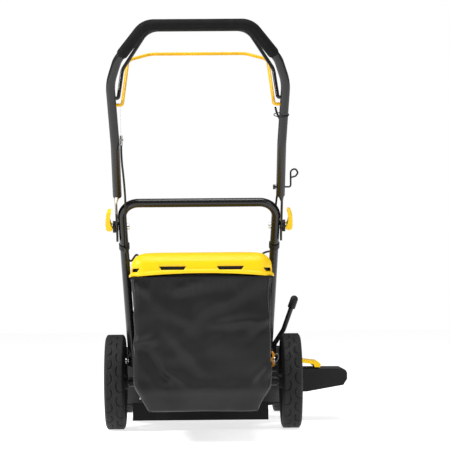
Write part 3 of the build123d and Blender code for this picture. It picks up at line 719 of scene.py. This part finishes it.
# A seam runs down the middle of each rear corner.
left_corner = SIDE_STEPS + CORNER_STEPS // 2
corner_columns = (left_corner, left_corner + CORNER_STEPS + REAR_STEPS)
seams = []
for column in corner_columns:
    spots = [row * columns + column for row in range(len(heights))]
    seams.append([bag.data.vertices[spot].co.copy() for spot in spots])
wall = bag.modifiers.new("wall", "SOLIDIFY")
wall.thickness = 0.0012
wall.offset = 0
smooth = bag.modifiers.new("smooth", "SUBSURF")
smooth.levels = 1
smooth.render_levels = 1
apply_modifiers(bag)
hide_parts("bag_fabric")
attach(bag, "bag")
for n, seam in enumerate(seams):
    piping = sweep_tube(f"bag_piping_{n}", seam, [0.0016] * len(seam), "piping", sides=10)
    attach(piping, "bag")

# ---- a painted highlight: a plain silver wedge that wraps the left shoulder, where the flat foot turns into the tube
WEDGE_START, WEDGE_LENGTH = 48, 66
WEDGE_ROWS, WEDGE_COLUMNS = 17, 9
wedge_vertices = []
for k in range(WEDGE_ROWS):
    part = k / (WEDGE_ROWS - 1)
    along_leg = WEDGE_START + WEDGE_LENGTH * part
    t = min(1.0, max(0.0, (along_leg - 78) / 26))
    half_x, depth = 2.5 + 7.7 * t, 13 - 2.8 * t
    spread = 20 + 40 * part
    for j in range(WEDGE_COLUMNS):
        angle = math.radians(spread * (2 * j / (WEDGE_COLUMNS - 1) - 1))
        y, z = along(CAM_JOINT, LOWER_RISE, along_leg, -(depth * math.cos(angle) + 0.5))
        x = -207 + 4 * t + half_x * math.sin(angle)
        wedge_vertices.append((x * MM, y * MM, z * MM))
wedge_faces = grid_faces(WEDGE_ROWS, WEDGE_COLUMNS)
# Painted highlight: the silver wedge stands in for the light on the black tube's bent shoulder.
wedge = mesh_object("leg_painted_highlight", wedge_vertices, wedge_faces, "steel")
thick = wedge.modifiers.new("wall", "SOLIDIFY")
thick.thickness = 0.0003
apply_modifiers(wedge)
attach(wedge, "upper_frame")

# ---- an amber tab with a wire through it, by the right bracket, and a cable tie on the right leg
TAB_ROWS = 13
tab_vertices = []
for k in range(TAB_ROWS):
    z = 0.168 + 0.04 * k / (TAB_ROWS - 1)
    lean = 0.0025 * math.sin(k * 0.9)
    for x in (0.189, 0.196):
        tab_vertices.append((x + lean, -0.071 + 0.002 * math.sin(k * 0.5), z))
tab = mesh_object("handle_pin_tab", tab_vertices, grid_faces(TAB_ROWS, 2), "amber_plastic")
thick = tab.modifiers.new("wall", "SOLIDIFY")
thick.thickness = 0.0014
apply_modifiers(tab)
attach(tab, "chassis")
pin_points = [(192, -69, 196), (201, -74, 204), (209, -76, 196), (205, -75, 182), (194, -72, 176)]
pin_wire = cable("handle_pin_wire", pin_points, 1.2, "steel")
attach(pin_wire, "chassis")

ZIP_AT = (207, *along(BAIL_PIVOT, UPPER_RISE, -28))
ZIP_STEPS = 36
zip_path = []
for k in range(ZIP_STEPS):
    angle = 2 * math.pi * k / ZIP_STEPS
    side = Vector((1, 0, 0)) * math.cos(angle) * (12 if math.cos(angle) > 0 else 24)
    up = Vector((0, UPPER_RISE[1], -UPPER_RISE[0])) * math.sin(angle) * 15
    zip_path.append((Vector(ZIP_AT) + side + up) * MM)
zip_path.append(zip_path[0])
zip_radii = [0.0011] * len(zip_path)
zip_tie = sweep_tube("zip_tie", zip_path, zip_radii, "black_plastic", sides=8)
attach(zip_tie, "upper_frame")

# ---- floor and light
FLOOR_HALF, FLOOR_Z = 12, -0.0005
floor_corners = [(-FLOOR_HALF, -FLOOR_HALF), (FLOOR_HALF, -FLOOR_HALF)]
floor_corners += [(FLOOR_HALF, FLOOR_HALF), (-FLOOR_HALF, FLOOR_HALF)]
floor_mesh = bpy.data.meshes.new("floor")
floor_mesh.from_pydata([(x, y, FLOOR_Z) for x, y in floor_corners], [], [(0, 1, 2, 3)])
floor = bpy.data.objects.new("floor", floor_mesh)
bpy.context.scene.collection.objects.link(floor)
floor_paint = surface("floor", (0.86, 0.86, 0.86), 0.8, shift=0.01, bump=0.02)
floor_shader = floor_paint.node_tree.nodes["Principled BSDF"]
floor_shader.inputs["Emission Color"].default_value = (1, 1, 1, 1)
floor_shader.inputs["Emission Strength"].default_value = 0.75
floor_mesh.materials.append(floor_paint)

# The sky is white to look at and dimmer as a light, so that the lamps still shape the black
# parts.
world = bpy.data.worlds.new("world")
world.use_nodes = True
sky = world.node_tree.nodes["Background"]
sky.inputs["Color"].default_value = (1, 1, 1, 1)
seen = world.node_tree.nodes.new("ShaderNodeLightPath")
strength = world.node_tree.nodes.new("ShaderNodeMapRange")
strength.inputs["To Min"].default_value = 0.25
strength.inputs["To Max"].default_value = 1.0
world.node_tree.links.new(seen.outputs["Is Camera Ray"], strength.inputs["Value"])
world.node_tree.links.new(strength.outputs["Result"], sky.inputs["Strength"])
bpy.context.scene.world = world
bpy.context.scene.view_settings.view_transform = "Standard"


def lamp(name, at, towards, size, power):
    """A soft rectangular lamp."""
    data = bpy.data.lights.new(name, "AREA")
    data.size = size
    data.energy = power
    obj = bpy.data.objects.new(name, data)
    bpy.context.scene.collection.objects.link(obj)
    obj.location = at
    obj.rotation_euler = (Vector(towards) - Vector(at)).to_track_quat("-Z", "Y").to_euler()


lamp("key", (-2.9, -1.5, 2.6), (0, -0.3, 0.4), 0.9, 130)
lamp("fill", (2.8, -2.6, 1.8), (0, 0, 0.5), 1.5, 30)
lamp("top", (0.2, -0.9, 3.4), (0, -0.3, 0.4), 1.6, 70)
